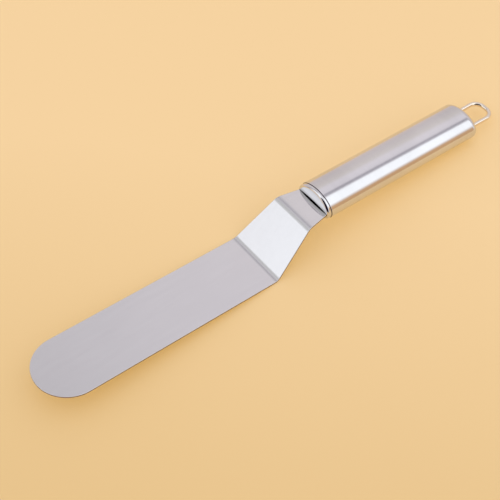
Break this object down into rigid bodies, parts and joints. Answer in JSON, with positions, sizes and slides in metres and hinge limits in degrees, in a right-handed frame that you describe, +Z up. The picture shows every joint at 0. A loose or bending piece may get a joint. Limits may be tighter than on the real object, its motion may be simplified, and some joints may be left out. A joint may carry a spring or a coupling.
{
  "type": "icing smoother",
  "caption": "Cranked stainless steel icing smoother: long round-tipped blade stepped up to a short neck, oval tubular handle with rounded caps, and a wire hanging loop",
  "frame": {"origin": "bottom centre of the bounding box, on the table the tool lies on", "axes": "+X back along the handle to the hanging loop, +Y across the blade to the user's right, +Z up"},
  "size_m": [0.3365, 0.043, 0.0285],
  "materials": {
    "blade_steel": "soft satin stainless sheet",
    "handle_steel": "fine satin stainless tube",
    "polished_steel": "bright polished stainless",
    "weld_steel": "as-welded stainless"
  },
  "bodies": {
    "root": {"blade": "blade_steel", "front_cap": "polished_steel", "tang_weld": "weld_steel", "handle_tube": "handle_steel", "rear_cap": "handle_steel", "hanging_loop": "polished_steel", "loop_weld_left": "weld_steel", "loop_weld_right": "weld_steel"}
  },
  "joints": []
}
